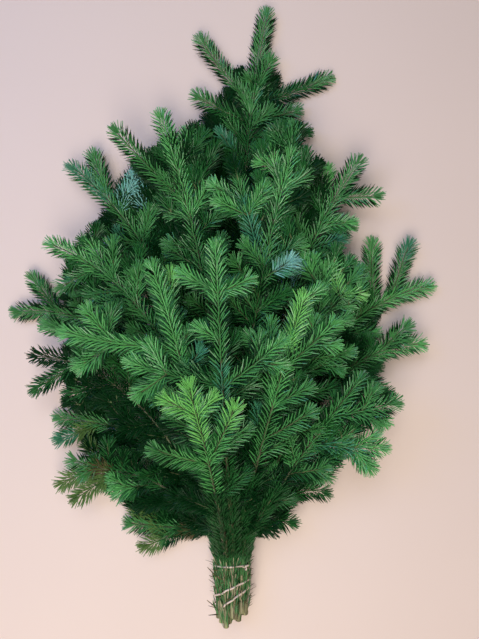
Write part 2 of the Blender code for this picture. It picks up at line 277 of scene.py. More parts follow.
# Needles: how they close up before the tip, spreads of their angles (degrees), sizes and bends
CLOSING_REACH = 14 * MM
LOOSE_SHARE = 0.6
TIP_CLOSING = 0.3
TIP_SHORTER = 0.25
TUFT_DEPTH = 3 * MM
AZIMUTH_SPREAD = 5.0
ANGLE_SPREAD = 3.0
ANGLE_EASE = 1.5
LEAST_NEEDLES = 6
FOOT_SIZE = 0.74
FOOT_SIZE_REACH = 18 * MM
SIZE_SPREAD = 0.06
BEND_FORWARD = 0.07
BEND_UP = 0.06
BEND_SPREAD = 0.03
FACING_SPREAD = 0.25
FACING_BACK = 0.15
GROUND_ROOM = 1.6 * MM
MOST_NEEDLES = 19000

# Bark of the stems: its relief as shares of the radius, with the count or length of each wave, and
# the cut faces' steps past the stems' ends with their shares of the radius
STEM_SIDES = 16
BARK_RADIUS = 0.96
STEM_PHASE = 7 * MM
RIBS = 0.05
RIB_COUNT = 5
RIB_TWIST = 60
SWELLING = 0.04
SWELLING_LENGTH = 9 * MM
CUSHIONS = 0.09
CUSHION_COUNT = 4
CUSHION_RISE = 1.6 * MM
CUSHION_LENGTH = 2 * MM
WOOD_DARKER = 0.7
CUT_STEPS = np.array([0.35, 0.3, 0.0, -1.0]) * MM
CUT_RADII = np.array([0.6, 0.8, 0.86, 0.86])

# Twigs, and their buds' radii by the distance past the twig's end
TWIG_STEP = 9 * MM
TWIG_SIDES = 6
AXIS_FOOT = 2 * MM
TWIG_FOOT = 1 * MM
TWIG_END = 0.7 * MM
TWIG_DARKER = 0.75
BUD_AT = np.array([1.0, 2.0, 3.0, 3.8]) * MM
BUD_RADII = np.array([1.1, 1.3, 1.0, 0.4]) * MM

# Needles on the stems: above the tie, and pressed on the handle, where they are kept in full at the
# tie and fall to the least share towards the cut ends. Half are green and the next three tenths
# olive. The rest is straw
STEM_NEEDLE_SEED = 50
NECK_FIRST = -2 * MM
NECK_DENSITY = 1700.0
NECK_SINK = 1 * MM
PRESSED_LAST = 6 * MM
PRESSED_DENSITY = 2600.0
PRESSED_SINK = 0.8 * MM
PRESSED_BEND = 0.6
PRESSED_SIZE = 0.9
PRESSED_LEAST = 0.22
PRESSED_START = 56 * MM
PRESSED_REACH = 50 * MM
GREEN_BELOW = 0.5
OLIVE_BELOW = 0.8

# Stray needles and stubs: their number on a stem, the part of it from the tie, sizes and spreads
STRAY_COUNT = 7
STRAY_PLACES = (-70 * MM, 2 * MM)
STRAY_SIZES = (0.45, 0.95)
STRAY_FOOT = 0.9
STRAY_LEAN = 0.6
STRAY_TURN_SPREAD = 0.5
STRAY_LEAN_SPREAD = 0.3
STRAY_BEND_SPREAD = 0.05
MIDDLE_LAYER = 4

# Looks of the band: waves of the loop along the handle and of its thickness, and the small twist
BAND_SIDES = 10
LOOP_WAVE = 0.5 * MM
LOOP_WAVE_PHASE = 0.6
LOOP_SWELLING = 0.08
KNOT_SIZE = 2.4 * MM
KNOT_ACROSS = 19.5 * MM
KNOT_HEIGHT = 41 * MM
KNOT_LOBES = 1.2
KNOT_FLATTER = 0.8
KNOT_THINNER = 0.7
KNOT_SIDES = 8

# Stage: half the floor's side, the soft lights as name, place, size and colour, and the sky
FLOOR_HALF = 4.0
LIGHTS = (
    ("key", (-0.22, -1.05, 1.6), 1.5, (1.0, 0.96, 0.88)),
    ("overhead", (-0.2, 0.85, 1.8), 1.2, (0.82, 0.90, 1.0)),
    ("window", (-1.2, 0.5, 1.3), 0.8, (0.12, 0.32, 1.0)),
)
SKY_COLOUR = (0.95, 0.97, 1.0, 1.0)

UPWARDS = np.array([0.0, 0.0, 1.0])
ALONG_HANDLE = np.array([0.0, 1.0, 0.0])

Shoot = namedtuple("Shoot", "bough kind points gone up tone habit starts ends")

# Shape of a needle: half its width by the full width, its three-cornered sections as (share of the
# length, share of the width), whether it ends in a point beyond them, and its triangles
NeedleShape = namedtuple("NeedleShape", "half_width sections pointed faces")
BLUNT = NeedleShape(0.5, ((0.35, 1.0), (1.0, 0.5)), False, (
    (0, 1, 2), (0, 2, 3), (0, 3, 1), (1, 4, 5), (1, 5, 2),
    (2, 5, 6), (2, 6, 3), (3, 6, 4), (3, 4, 1), (4, 6, 5)))
POINTED = NeedleShape(0.62, ((0.5, 1.0),), True, (
    (0, 1, 2), (0, 2, 3), (0, 3, 1), (4, 2, 1), (4, 3, 2), (4, 1, 3)))


def smooth_step(value):
    """0 below 0, 1 above 1, and 3t^2 - 2t^3 between."""
    t = np.clip(value, 0.0, 1.0)
    return t * t * (3.0 - 2.0 * t)


def unit(vectors):
    """Vectors divided by their lengths."""
    return vectors / np.maximum(np.linalg.norm(vectors, axis=-1, keepdims=True), 1e-12)


def row_height(layer):
    """Height of the row of stems that a layer starts from."""
    return FIRST_ROW + ROW_OF_LAYER[layer] * ROW_RISE


def layer_height(layer, reach):
    """Height of a layer at a distance from the tie: from its row of stems up to its level."""
    share = np.clip((reach - LAYER_RISE_START) / LAYER_RISE_REACH, 0.0, 1.0)
    rise = 1.0 - (1.0 - share) ** LAYER_RISE_POWER
    droop = 1.0 - DROOP * smooth_step((reach - DROOP_START) / DROOP_REACH)
    level = FIRST_LAYER + (layer - 1) * LAYER_PITCH * droop
    return row_height(layer) + (level - row_height(layer)) * rise


def read_path(at, run, values):
    """Rows of values along a path, read at other distances along it."""
    return np.stack([np.interp(at, run, column) for column in values.T], axis=1)


def plan_distances(places, others):
    """Plan distance of each place from each of some others."""
    return np.hypot(places[:, None, 0] - others[None, :, 0], places[:, None, 1] - others[None, :, 1])


def carry(start, headings, steps):
    """Points of a plan path from its start, its heading at each point and the step lengths."""
    middle = np.radians((headings[1:] + headings[:-1]) / 2.0)
    move = np.stack([np.sin(middle) * steps, np.cos(middle) * steps], axis=1)
    return np.vstack([start, start + np.cumsum(move, axis=0)])


def bough_axis(bough, count=160):
    """Distances, plan points and headings along a bough: its heading eases in, then bends as t^2."""
    _, _, column, heading, bend, length = bough[:6]
    distance = np.linspace(0.0, length * MM, count)
    turn = smooth_step((distance - TURN_START) / TURN_REACH)
    headings = heading * turn + bend * (distance / (length * MM)) ** 2
    start = np.array([TIE_X + column * STEM_PITCH, TIE_Y])
    return distance, carry(start, headings, np.diff(distance)), headings


def along(axis, distance):
    """Plan point and heading at one distance along a bough."""
    distances, points, headings = axis
    place = [np.interp(distance, distances, points[:, k]) for k in (0, 1)]
    return np.array(place), float(np.interp(distance, distances, headings))


def side_path(start, heading, angle, length, count=12):
    """Plan path that leaves at an angle and sweeps a little forward."""
    share = np.linspace(0.0, 1.0, count)
    headings = heading + angle * (1.0 - SWEEP * share ** 2)
    return carry(start, headings, np.full(count - 1, length / (count - 1)))


def path_run(points):
    """Distance of each point of a path from its start."""
    steps = np.linalg.norm(np.diff(points, axis=0), axis=1)
    return np.concatenate([[0.0], np.cumsum(steps)])


def raised(layer, plan, base, tilt, growth):
    """Points of a shoot: its layer's height, lifted by its own base height and its tilt."""
    reach = np.hypot(plan[:, 0] - TIE_X, plan[:, 1] - TIE_Y)
    run = path_run(plan)
    height = layer_height(layer, reach) + base + math.tan(math.radians(tilt)) * run
    return np.column_stack([plan, np.maximum(height, growth.lowest)])


def filling_sides(bough):
    """Side shoots at each older node, left and right, where no main side shoot stands."""
    length, bare, reaches, mains = bough[5] * MM, bough[6] * MM, bough[7], bough[8]
    found = []
    at = length - 2 * YEAR_GROWTH
    while at > bare + FILL_CLEAR:
        stunted = smooth_step((at - FILL_START) / FILL_REACH)
        for side, reach in zip((-1, 1), reaches):
            grown = min(reach * MM, FILL_SHARE * (length - at)) * stunted
            free = all(abs(at - d * MM) > NODE_SPACE or a * side < 0 for d, a, _ in mains)
            if grown > FILL_LEAST and free:
                found.append((at, side * SIDE_ANGLE, grown))
        at -= YEAR_GROWTH
    return found


def named_shoots(bough):
    """Plan paths of the shoots that the frame's mass is made of, each with its kind and its place.

    The axis comes first, then the main and filling side shoots, and on each long side shoot a fork
    to both sides. The place is the distance along the bough.
    """
    axis = bough_axis(bough)
    keep = axis[0] >= bough[6] * MM - STEM_SOCKET
    found = [("axis", axis[1][keep], 0.0)]
    sides = [("main", d * MM, a, reach * MM) for d, a, reach in bough[8]]
    sides += [("filling", *side) for side in filling_sides(bough)]
    for kind, at, angle, reach in sides:
        start, heading = along(axis, at)
        plan = side_path(start, heading, angle, reach)
        found.append((kind, plan, at))
        if reach > FORK_LENGTH and bough[0] not in FORKLESS:
            for side in (-SIDE_ANGLE, SIDE_ANGLE):
                fork = side_path(plan[len(plan) // 2], heading + angle, side, reach * FORK_SHARE)
                found.append(("fork", fork, at))
    return found


def in_crown(plan):
    """Which plan points lie in the closed part of the crown."""
    distance, left, right = np.array(CROWN).T * MM
    up = plan[:, 1] - TIE_Y
    across = plan[:, 0] - TIE_X
    high = (up > distance[0]) & (up < distance[-1])
    wide = (across > -np.interp(up, distance, left)) & (across < np.interp(up, distance, right))
    return high & wide


def shoots_over(targets, plan):
    """How many shoots cover each target: the length of a plan path near it, by twice the reach."""
    steps = np.linalg.norm(np.diff(plan, axis=0), axis=1)
    middle = (plan[1:] + plan[:-1]) / 2.0
    return ((plan_distances(targets, middle) < SPRAY_REACH) * steps).sum(axis=1) / (2 * SPRAY_REACH)


def gaps(plan, others):
    """Distance of each plan point from the nearest of some others."""
    return plan_distances(plan, others).min(axis=1)


def inside(plan, outline, room):
    """The first part of a plan path that stays in the crown, or near the outline's points."""
    out = np.flatnonzero((gaps(plan, outline) > room) & ~in_crown(plan))
    return plan[:out[0]] if len(out) else plan


def small_shoots(bough, growth, rng):
    """Random small side shoots, left and right in turn, all the way up a bough."""
    axis = bough_axis(bough)
    length = bough[5] * MM
    at = growth.first_small * rng.uniform(*SMALL_FIRST)
    side = rng.choice((-1, 1))
    while at < length - CLEAN_END:
        start, heading = along(axis, at)
        reach = rng.uniform(growth.small_least, growth.small_most)
        yield at, side_path(start, heading, side * rng.uniform(*SMALL_ANGLES), reach)
        side = -side
        at += growth.small_step * rng.uniform(*SMALL_SPACING)


def grow_bough(index, bough, growth, outline):
    """All the shoots of one bough: those that the frame's mass is made of, twigs on the longer side
    shoots, and small shoots all the way up.

    They are tilted and rolled at random by a generator that is seeded with the bough's number. The
    twigs and the small shoots stop where they would pass the bunch's outline.
    """
    rng = np.random.default_rng(growth.seed * BOUGH_SEEDS + index)
    front = bough[1] >= FRONT_LAYER
    grown = []
    for kind, plan, at in named_shoots(bough):
        tilt = 0.0 if kind == "axis" else rng.normal(0.0, growth.side_tilt)
        change = rng.normal(0.0, TONE_SPREAD)
        grown.append(new_shoot(index, kind, plan, at, 0.0, tilt, change, growth, rng))
        reach = path_run(plan)[-1]
        plain = front or bough[0] in FORKLESS or kind not in ("main", "filling")
        if plain or reach < growth.twig_least:
            continue
        for side in (-1, 1):
            share = rng.uniform(*TWIG_PLACES)
            spot = int(share * len(plan))
            ahead = math.degrees(math.atan2(*(plan[spot + 1] - plan[spot])))
            angle = side * rng.uniform(*TWIG_ANGLES)
            twig = side_path(plan[spot], ahead, angle, reach * rng.uniform(*TWIG_SHARES))
            twig = inside(twig, outline, growth.room)
            if len(twig) > LEAST_POINTS:
                lift = math.tan(math.radians(tilt)) * share * reach
                lean = tilt + rng.normal(0.0, growth.side_tilt)
                change = rng.normal(TWIG_CHANGE, TONE_SPREAD)
                grown.append(new_shoot(index, "twig", twig, at, lift, lean, change, growth, rng))
    dip, spread = (FRONT_DIP, FRONT_DIP_SPREAD) if front else (0.0, growth.small_tilt)
    for at, plan in small_shoots(bough, growth, rng):
        plan = inside(plan, outline, growth.room)
        if len(plan) > LEAST_POINTS:
            lean = rng.normal(dip, spread)
            change = rng.normal(FRONT_CHANGE if front else SMALL_CHANGE, CHANGE_SPREAD)
            grown.append(new_shoot(index, "small", plan, at, 0.0, lean, change, growth, rng))
    return grown


def new_shoot(index, kind, plan, at, base, tilt, change, growth, rng):
    """A shoot along a plan path of a bough, raised to its layer, rolled a little and given its tone.

    It stops short of the path's end, because its last needles reach further than the twig.
    """
    bough = BOUGHS[index]
    points = raised(bough[1], plan, base, tilt, growth)
    run = path_run(points)
    keep = run <= max(run[-1] - growth.tip_reach, run[1])
    roll = math.radians(rng.normal(0.0, ROLL_SPREAD))
    up = np.array([0.0, math.sin(roll), math.cos(roll)])
    years = 0.0 if kind == "axis" else (bough[5] * MM - at) / YEAR_GROWTH
    tone = TONES[bough[0]] + change - growth.ageing * max(years - AGEING_START, 0.0)
    habit = "brush" if kind != "axis" and rng.random() < growth.brush_share else "comb"
    return Shoot(index, kind, points[keep], run[keep], up, tone, habit, True, True)


def cover_shoots(shoots, growth):
    """Shoots that close the crown where it is still thin.

    Again and again the place in the crown that the fewest shoots cover gets one: it starts at the
    nearest twig that lies well nearer the tie, and ends a little beyond the place.
    """
    rng = np.random.default_rng(growth.seed + COVER_SEED)
    step = growth.cover_step
    across, beyond = np.meshgrid(np.arange(*COVER_ACROSS, step), np.arange(*COVER_BEYOND, step))
    targets = np.column_stack([across.ravel() + TIE_X, beyond.ravel() + TIE_Y])
    targets = targets[in_crown(targets)]
    twigs = np.vstack([shoot.points[::2, :2] for shoot in shoots])
    owner = np.concatenate([np.full(len(shoot.points[::2]), shoot.bough) for shoot in shoots])
    reach = np.hypot(*(twigs - TIE).T)
    over = sum(shoots_over(targets, shoot.points[:, :2]) for shoot in shoots)
    grown = []
    while over.min() < growth.least_over and len(grown) < growth.most_cover:
        place = targets[np.argmin(over)]
        apart = np.hypot(*(twigs - place).T)
        behind = reach < math.hypot(*(place - TIE)) - COVER_NEARER * apart
        foot = np.argmin(np.where(behind, apart, OUT_OF_REACH))
        way = place - twigs[foot]
        heading = math.degrees(math.atan2(*way))
        bend = rng.uniform(*COVER_BENDS)
        plan = side_path(twigs[foot], heading, bend, math.hypot(*way) + COVER_PAST)
        dip = rng.normal(COVER_DIP, COVER_DIP_SPREAD)
        change = rng.normal(COVER_CHANGE, CHANGE_SPREAD)
        grown.append(new_shoot(owner[foot], "cover", plan, 0.0, 0.0, dip, change, growth, rng))
        here = COVER_LEAST_GAIN * (targets == place).all(axis=1)
        over += np.maximum(shoots_over(targets, grown[-1].points[:, :2]), here)
    return grown


def grow_bunch(growth):
    """The shoots of every bough, and those that close the crown."""
    outline = np.vstack([plan for bough in BOUGHS for _, plan, _ in named_shoots(bough)])
    shoots = []
    for index, bough in enumerate(BOUGHS):
        shoots += grow_bough(index, bough, growth, outline)
    return shoots + cover_shoots(shoots, growth)


def cut_end(index):
    """Distance below the tie of a stem's cut end; neighbours are cut at unlike lengths."""
    return HANDLE_LENGTH + CUT_STAGGER * math.sin(CUT_PHASE * index)


def stem_radius(bough):
    """Radius of a stem in the handle: the longest bough has the thickest."""
    longest = max(b[5] for b in BOUGHS)
    return STEM_RADIUS * (1.0 - SHORT_BOUGH_THINNER * (1.0 - math.sqrt(bough[5] / longest)))


def stem_line(index, bough, step=3 * MM):
    """Centre line and radii of a stem, from its cut end to the end of its bare part."""
    layer, bare = bough[1], bough[6] * MM
    below = cut_end(index)
    distance, plan, _ = bough_axis(bough)
    end = bare + STEM_SOCKET
    spots = np.linspace(-below, end, int((end + below) / step))
    x = np.interp(spots, distance, plan[:, 0])
    y = np.where(spots < 0.0, TIE_Y + spots, np.interp(spots, distance, plan[:, 1]))
    reach = np.where(spots < 0.0, 0.0, np.hypot(x - TIE_X, y - TIE_Y))
    z = np.where(spots < 0.0, row_height(layer), layer_height(layer, reach))
    foot = stem_radius(bough)
    radii = foot + (STEM_END_RADIUS - foot) * np.clip(spots / end, 0.0, 1.0)
    return spots, np.column_stack([x, y, z]), radii


def path_frames(points, reference):
    """Unit tangents of a path, and two unit vectors across it: side = t x r and up = side x t."""
    tangents = unit(np.gradient(points, axis=0))
    sides = unit(np.cross(tangents, reference))
    return tangents, sides, np.cross(sides, tangents)


def tube_grid(points, radii, sides, reference=(0.0, 0.0, 1.0), relief=None):
    """Points on a grid round a path: p + r (1 + relief) (side cos a + up sin a)."""
    _, across, up = path_frames(points, np.asarray(reference))
    angle = np.linspace(0.0, 2 * math.pi, sides, endpoint=False)
    spread = np.asarray(radii)[:, None] * (1.0 if relief is None else 1.0 + relief)
    spread = np.broadcast_to(spread, (len(points), sides))
    ring = across[:, None] * np.cos(angle)[:, None] + up[:, None] * np.sin(angle)[:, None]
    return points[:, None] + ring * spread[..., None]


def grid_faces(rows, columns, closed=False):
    """Quads of a grid that closes round its columns, and round its rows too where told."""
    last = rows if closed else rows - 1
    row, column = np.meshgrid(np.arange(last), np.arange(columns), indexing="ij")
    below, beside = (row + 1) % rows, (column + 1) % columns
    corners = [row * columns + column, row * columns + beside,
               below * columns + beside, below * columns + column]
    return np.stack(corners, axis=-1).reshape(-1, 4)


def capped_tube(points, radii, sides, reference=(0.0, 0.0, 1.0), relief=None):
    """A tube closed by a pole at each end: its points and its triangles."""
    grid = tube_grid(points, radii, sides, reference, relief)
    rows = len(points)
    quads = grid_faces(rows, sides)
    faces = np.vstack([quads[:, [0, 1, 2]], quads[:, [0, 2, 3]]])
    turn = np.arange(sides)
    beside = (turn + 1) % sides
    foot, tip = rows * sides, rows * sides + 1
    first = np.stack([np.full(sides, foot), beside, turn], axis=1)
    top = (rows - 1) * sides
    last = np.stack([np.full(sides, tip), top + turn, top + beside], axis=1)
    spots = np.vstack([grid.reshape(-1, 3), points[0], points[-1]])
    return spots, np.vstack([faces, first, last])


def join(parts):
    """Several (points, triangles) as one."""
    counts = np.cumsum([0] + [len(spots) for spots, _ in parts])
    spots = np.vstack([spots for spots, _ in parts])
    faces = np.vstack([faces + start for (_, faces), start in zip(parts, counts)])
    return spots, faces


def make_piece(name, shape, material, nodes, smooth=True):
    """A mesh object from whole arrays of points and faces. It rides on the bunch, stands for some of the
    frame's nodes and takes the given material.
    """
    spots, faces = shape
    mesh = bpy.data.meshes.new(name)
    mesh.vertices.add(len(spots))
    mesh.vertices.foreach_set("co", np.asarray(spots, dtype=np.float32).ravel())
    mesh.loops.add(faces.size)
    mesh.loops.foreach_set("vertex_index", np.asarray(faces, dtype=np.int32).ravel())
    mesh.polygons.add(len(faces))
    starts = np.arange(0, faces.size, faces.shape[1], dtype=np.int32)
    mesh.polygons.foreach_set("loop_start", starts)
    mesh.polygons.foreach_set("use_smooth", np.full(len(faces), smooth))
    mesh.update(calc_edges=True)
    mesh.validate()
    mesh.materials.append(material)
    piece = bpy.data.objects.new(name, mesh)
    bpy.context.scene.collection.objects.link(piece)
    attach(piece, "root")
    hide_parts(*nodes)


def nodes_named(start):
    """Frame nodes of all the boughs whose names begin with a word."""
    return [start + bough[0] for bough in BOUGHS]


# Materials

NUMBER, COLOUR = "NodeSocketFloat", "NodeSocketColor"
WHOLE = (0.0, 1.0)
NOISE_MIDDLE = 0.5
WAX_DETAIL = 3.0
WAX_NOISE = (0.3, 0.7)
WAX_ROUGHNESS = (0.28, 0.46)
BARK_STRETCH = (1.0, 0.12, 1.0)
BARK_DETAIL = 5.0
BARK_NOISE = (0.35, 0.65)
BARK_ROUGHNESS = (0.6, 0.85)
BARK_BUMP = 0.6


def new_group(name, inputs, outputs):
    """An empty shader group with named number and colour sockets, and its two end nodes."""
    group = bpy.data.node_groups.new(name, "ShaderNodeTree")
    for side, sockets in (("INPUT", inputs), ("OUTPUT", outputs)):
        for label, kind in sockets:
            group.interface.new_socket(label, in_out=side, socket_type=kind)
    return group, group.nodes.new("NodeGroupInput"), group.nodes.new("NodeGroupOutput")


def maths(tree, operation, *terms):
    """Result of a maths node, whose terms are numbers or other nodes' outputs."""
    node = tree.nodes.new("ShaderNodeMath")
    node.operation = operation
    for socket, term in zip(node.inputs, terms):
        if isinstance(term, float):
            socket.default_value = term
        else:
            tree.links.new(term, socket)
    return node.outputs["Value"]


def ranged(tree, source, given, made):
    """A source's values carried from one range to another."""
    node = tree.nodes.new("ShaderNodeMapRange")
    for label, value in zip(("From Min", "From Max", "To Min", "To Max"), (*given, *made)):
        node.inputs[label].default_value = value
    tree.links.new(source, node.inputs["Value"])
    return node.outputs["Result"]


def noise_at(tree, place, scale, detail):
    """Noise read at a place, with its scale from a group's input."""
    noise = tree.nodes.new("ShaderNodeTexNoise")
    noise.inputs["Detail"].default_value = detail
    tree.links.new(place, noise.inputs["Vector"])
    tree.links.new(scale, noise.inputs["Scale"])
    return noise.outputs["Fac"]


def wax_group():
    """Waxy surface: the tint a little lighter and darker in patches, and an uneven gloss."""
    if "needle_wax" in bpy.data.node_groups:
        return bpy.data.node_groups["needle_wax"]
    group, given, result = new_group(
        "needle_wax", (("Tint", COLOUR), ("Patch Scale", NUMBER), ("Contrast", NUMBER)),
        (("Color", COLOUR), ("Roughness", NUMBER)))
    place = group.nodes.new("ShaderNodeTexCoord").outputs["Object"]
    noise = noise_at(group, place, given.outputs["Patch Scale"], WAX_DETAIL)
    centred = maths(group, "SUBTRACT", noise, NOISE_MIDDLE)
    change = maths(group, "MULTIPLY_ADD", centred, given.outputs["Contrast"], 1.0)
    shade = group.nodes.new("ShaderNodeVectorMath")
    shade.operation = "SCALE"
    group.links.new(given.outputs["Tint"], shade.inputs[0])
    group.links.new(change, shade.inputs["Scale"])
    group.links.new(shade.outputs["Vector"], result.inputs["Color"])
    group.links.new(ranged(group, noise, WAX_NOISE, WAX_ROUGHNESS), result.inputs["Roughness"])
    return group


def bark_group():
    """Bark: long streaks from a young to an old colour, fine cracks and small pale warts."""
    if "fir_bark" in bpy.data.node_groups:
        return bpy.data.node_groups["fir_bark"]
    group, given, result = new_group(
        "fir_bark", (("Young", COLOUR), ("Old", COLOUR), ("Scale", NUMBER)),
        (("Color", COLOUR), ("Roughness", NUMBER), ("Height", NUMBER)))
    nodes, links = group.nodes, group.links
    place = nodes.new("ShaderNodeTexCoord").outputs["Object"]
    stretch = nodes.new("ShaderNodeMapping")
    stretch.inputs["Scale"].default_value = BARK_STRETCH
    links.new(place, stretch.inputs["Vector"])
    streaks = noise_at(group, stretch.outputs["Vector"], given.outputs["Scale"], BARK_DETAIL)
    warts = nodes.new("ShaderNodeTexVoronoi")
    links.new(place, warts.inputs["Vector"])
    links.new(given.outputs["Scale"], warts.inputs["Scale"])
    mix = nodes.new("ShaderNodeMix")
    mix.data_type = "RGBA"
    links.new(ranged(group, streaks, BARK_NOISE, WHOLE), mix.inputs["Factor"])
    links.new(given.outputs["Young"], mix.inputs["A"])
    links.new(given.outputs["Old"], mix.inputs["B"])
    links.new(mix.outputs["Result"], result.inputs["Color"])
    links.new(ranged(group, streaks, WHOLE, BARK_ROUGHNESS), result.inputs["Roughness"])
    links.new(maths(group, "SUBTRACT", streaks, warts.outputs["Distance"]), result.inputs["Height"])
    return group


def start_material(name, group, **values):
    """A material with its shader and a group placed in it. Labels of inputs have _ for a space."""
    material = bpy.data.materials.new(name)
    material.use_nodes = True
    tree = material.node_tree
    shader = tree.nodes["Principled BSDF"]
    placed = tree.nodes.new("ShaderNodeGroup")
    placed.node_tree = group
    for label, value in values.items():
        placed.inputs[label.replace("_", " ")].default_value = value
    tree.links.new(placed.outputs["Color"], shader.inputs["Base Color"])
    return material, tree, shader, placed


def needle_material(name, tint, gloss):
    """Waxy needle of one tint and gloss."""
    material, tree, shader, wax = start_material(
        "needles " + name, wax_group(), Tint=(*tint, 1.0), Patch_Scale=70.0, Contrast=0.9)
    tree.links.new(wax.outputs["Roughness"], shader.inputs["Roughness"])
    shader.inputs["Specular IOR Level"].default_value = gloss
    return material


def bark_material(name, young, old, scale, depth):
    """Bark between two colours, with its relief as a bump of a given depth."""
    material, tree, shader, bark = start_material(
        name, bark_group(), Young=(*young, 1.0), Old=(*old, 1.0), Scale=scale)
    bump = tree.nodes.new("ShaderNodeBump")
    bump.inputs["Strength"].default_value = BARK_BUMP
    bump.inputs["Distance"].default_value = depth
    tree.links.new(bark.outputs["Roughness"], shader.inputs["Roughness"])
    tree.links.new(bark.outputs["Height"], bump.inputs["Height"])
    tree.links.new(bump.outputs["Normal"], shader.inputs["Normal"])
    return material


def dull_material(name, colour, patch_scale, contrast, roughness):
    """An even, dull surface with faint patches of its colour."""
    material, _, shader, _ = start_material(
        name, wax_group(), Tint=(*colour, 1.0), Patch_Scale=patch_scale, Contrast=contrast)
    shader.inputs["Roughness"].default_value = roughness
    return material


def band_material(colour):
    """Pale elastic band: dull, a little blotchy."""
    return dull_material("band", colour, patch_scale=220.0, contrast=0.5, roughness=0.55)


def floor_material(colour):
    """Plain pale surface with a very faint mottle."""
    return dull_material("floor", colour, patch_scale=3.0, contrast=0.06, roughness=0.7)


# Needles

def needle_angles(habit, from_tip, rng):
    """Azimuth round the shoot and angle to it, both in radians, of needles of one habit.

    The azimuths repeat in the habit's order, so each rank of needles is evenly spaced. The angle
    eases from the side value to the top value with |sin azimuth|^1.5, and closes up before the tip.
    """
    turns, side_angle, top_angle, _ = HABITS[habit]
    count = len(from_tip)
    closing = smooth_step(1.0 - from_tip / CLOSING_REACH)
    azimuth = np.resize(turns, count) + rng.normal(0.0, AZIMUTH_SPREAD, count)
    loose = rng.random(count) < LOOSE_SHARE * closing
    azimuth = np.radians(np.where(loose, rng.uniform(0.0, 360.0, count), azimuth))
    angle = side_angle + (top_angle - side_angle) * np.abs(np.sin(azimuth)) ** ANGLE_EASE
    angle = angle * (1.0 - closing * rng.random(count)) + rng.normal(0.0, ANGLE_SPREAD, count)
    return azimuth, np.radians(angle), closing


def needles_of(shoot, settings, rng, density):
    """Feet, directions, bends, blade normals, lengths and lifts of the needles of one shoot.

    The lift is the sine of the azimuth, and 1 near the tip.
    """
    length = shoot.gone[-1]
    count = max(int(length * density), LEAST_NEEDLES)
    tuft = settings.tip_tuft if shoot.ends else 0
    gone = (np.arange(count) + 0.5 + rng.uniform(-0.5, 0.5, count)) / count * length
    gone = np.concatenate([gone, length - rng.random(tuft) * TUFT_DEPTH])
    tangents, _, up = path_frames(shoot.points, shoot.up)
    place = read_path(gone, shoot.gone, shoot.points)
    forward = unit(read_path(gone, shoot.gone, tangents))
    over = unit(read_path(gone, shoot.gone, up))
    side = np.cross(forward, over)
    from_tip = length - gone + (0.0 if shoot.ends else 1.0)
    azimuth, angle, closing = needle_angles(shoot.habit, from_tip, rng)
    outward = side * np.cos(azimuth)[:, None] + over * np.sin(azimuth)[:, None]
    direction = forward * np.cos(angle)[:, None] + outward * np.sin(angle)[:, None]
    top_length = HABITS[shoot.habit][3]
    size = settings.length * (1.0 - (1.0 - top_length) * np.clip(np.sin(azimuth), 0.0, 1.0))
    if shoot.starts:
        size = size * (FOOT_SIZE + (1.0 - FOOT_SIZE) * smooth_step(gone / FOOT_SIZE_REACH))
    size = size * (1.0 - TIP_SHORTER * closing) * (1.0 + rng.normal(0.0, SIZE_SPREAD, len(gone)))
    bend = forward * BEND_FORWARD + over * BEND_UP + rng.normal(0.0, BEND_SPREAD, direction.shape)
    facing = over + rng.normal(0.0, FACING_SPREAD, direction.shape) - forward * FACING_BACK
    lift = np.maximum(np.sin(azimuth), np.where(closing > TIP_CLOSING, 1.0, -1.0))
    return *clear_of_ground(place + outward * settings.foot, direction, bend, facing, size), lift


def clear_of_ground(feet, direction, bend, facing, size):
    """Needles as given, but with feet, middles and tips a little above the ground."""
    feet = feet.copy()
    feet[:, 2] = np.maximum(feet[:, 2], GROUND_ROOM)
    low = (GROUND_ROOM - feet[:, 2]) / size
    direction = direction.copy()
    direction[:, 2] = np.maximum(direction[:, 2], low)
    direction = unit(direction)
    bend = bend.copy()
    bend[:, 2] = np.maximum(bend[:, 2], low - direction[:, 2])
    return feet, direction, bend, facing, size


def needle_mesh(fields, settings):
    """Closed needles: the upper ones with a blunt tip, the lower ones plainer, with a point."""
    *fields, lift = fields
    low = lift < UNDER_LIFT
    upper = build_needles(*[field[~low] for field in fields], BLUNT, settings)
    return join([upper, build_needles(*[field[low] for field in fields], POINTED, settings)])


def build_needles(feet, direction, bend, facing, size, shape, settings):
    """Needles of one shape, each on its middle line, foot + size (direction s + bend s^2).

    A section has a left and a right edge half a width away and a ridge above the middle.
    """
    blade = unit(np.cross(direction, facing))
    ridge = np.cross(blade, direction)
    half = settings.width * shape.half_width * (size / settings.length)[:, None]

    def middle_at(share):
        return feet + size[:, None] * (direction * share + bend * share * share)

    rows = [feet]
    for share, wide in shape.sections:
        middle = middle_at(share)
        rows += [middle - blade * half * wide, middle + blade * half * wide,
                 middle + ridge * settings.thickness * wide]
    if shape.pointed:
        rows.append(middle_at(1.0))
    spots = np.stack(rows, axis=1)
    faces = np.arange(len(feet))[:, None, None] * spots.shape[1] + np.array(shape.faces)
    return spots.reshape(-1, 3), faces.reshape(-1, 3)


def needle_piece(name, fields, settings, material):
    """A piece of needles, in place of the frame's masses."""
    shape = needle_mesh(fields, settings)
    make_piece(name, shape, material, nodes_named("foliage_"), smooth=False)


def spray_tint(shoot, score, rng):
    """Tint of one spray: a pale, olive or blue one by its place or chance, or else by its score."""
    tip = shoot.points[-1, :2] / MM
    if any(math.hypot(tip[0] - x, tip[1] - y) < reach for x, y, reach in PALE_SPOTS):
        return "pale"
    chance = rng.random()
    olive = OLIVE.get(BOUGHS[shoot.bough][0], 0.0)
    if chance < olive and not in_crown(shoot.points[-1:]).any():
        return "brown" if chance < BROWN_SHARE * olive else "olive"
    least, most = BLUE_SCORES
    if chance > BLUE_CHANCE and least < score < most and shoot.kind not in ("cover", "small"):
        return "blue"
    return next(name for name, least in TINT_STEPS if score > least)


